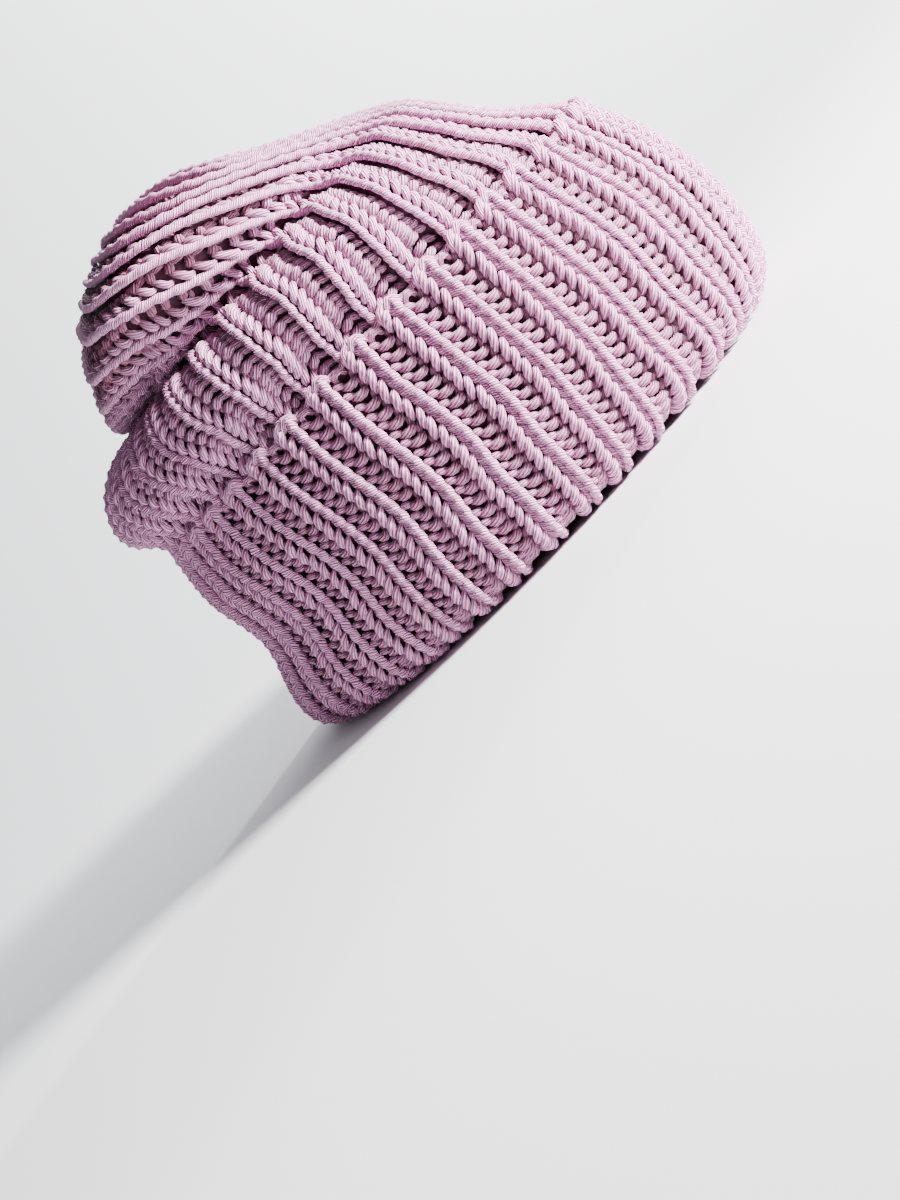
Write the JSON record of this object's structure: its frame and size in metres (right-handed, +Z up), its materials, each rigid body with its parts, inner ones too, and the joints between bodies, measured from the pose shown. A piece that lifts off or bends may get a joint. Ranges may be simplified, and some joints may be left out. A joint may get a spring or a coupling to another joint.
{
  "type": "cuffed rib-knit beanie",
  "caption": "Thick rib-knitted beanie with a turned-up cuff and a slouching crown, hollow and open at the rim, standing on its folded rim.",
  "frame": {"origin": "middle of the bounding box on the surface that the rim rests on", "axes": "+Z up from the rim to the crown, -Y towards the front of the hat, +Y towards the back, where the crown flops over, X from side to side"},
  "size_m": [0.1789, 0.2252, 0.1688],
  "materials": {
    "crown_knit": "lilac-pink plied yarn, rib-knitted, matt with a slight sheen",
    "cuff_knit": "lilac-pink plied yarn, rib-knitted, matt with a slight sheen",
    "edge_knit": "lilac-pink plied yarn, a chain of loops along the free edge"
  },
  "bodies": {
    "root": {"crown": "crown_knit", "cuff": "cuff_knit", "cast_on_edge": "edge_knit"}
  },
  "joints": []
}
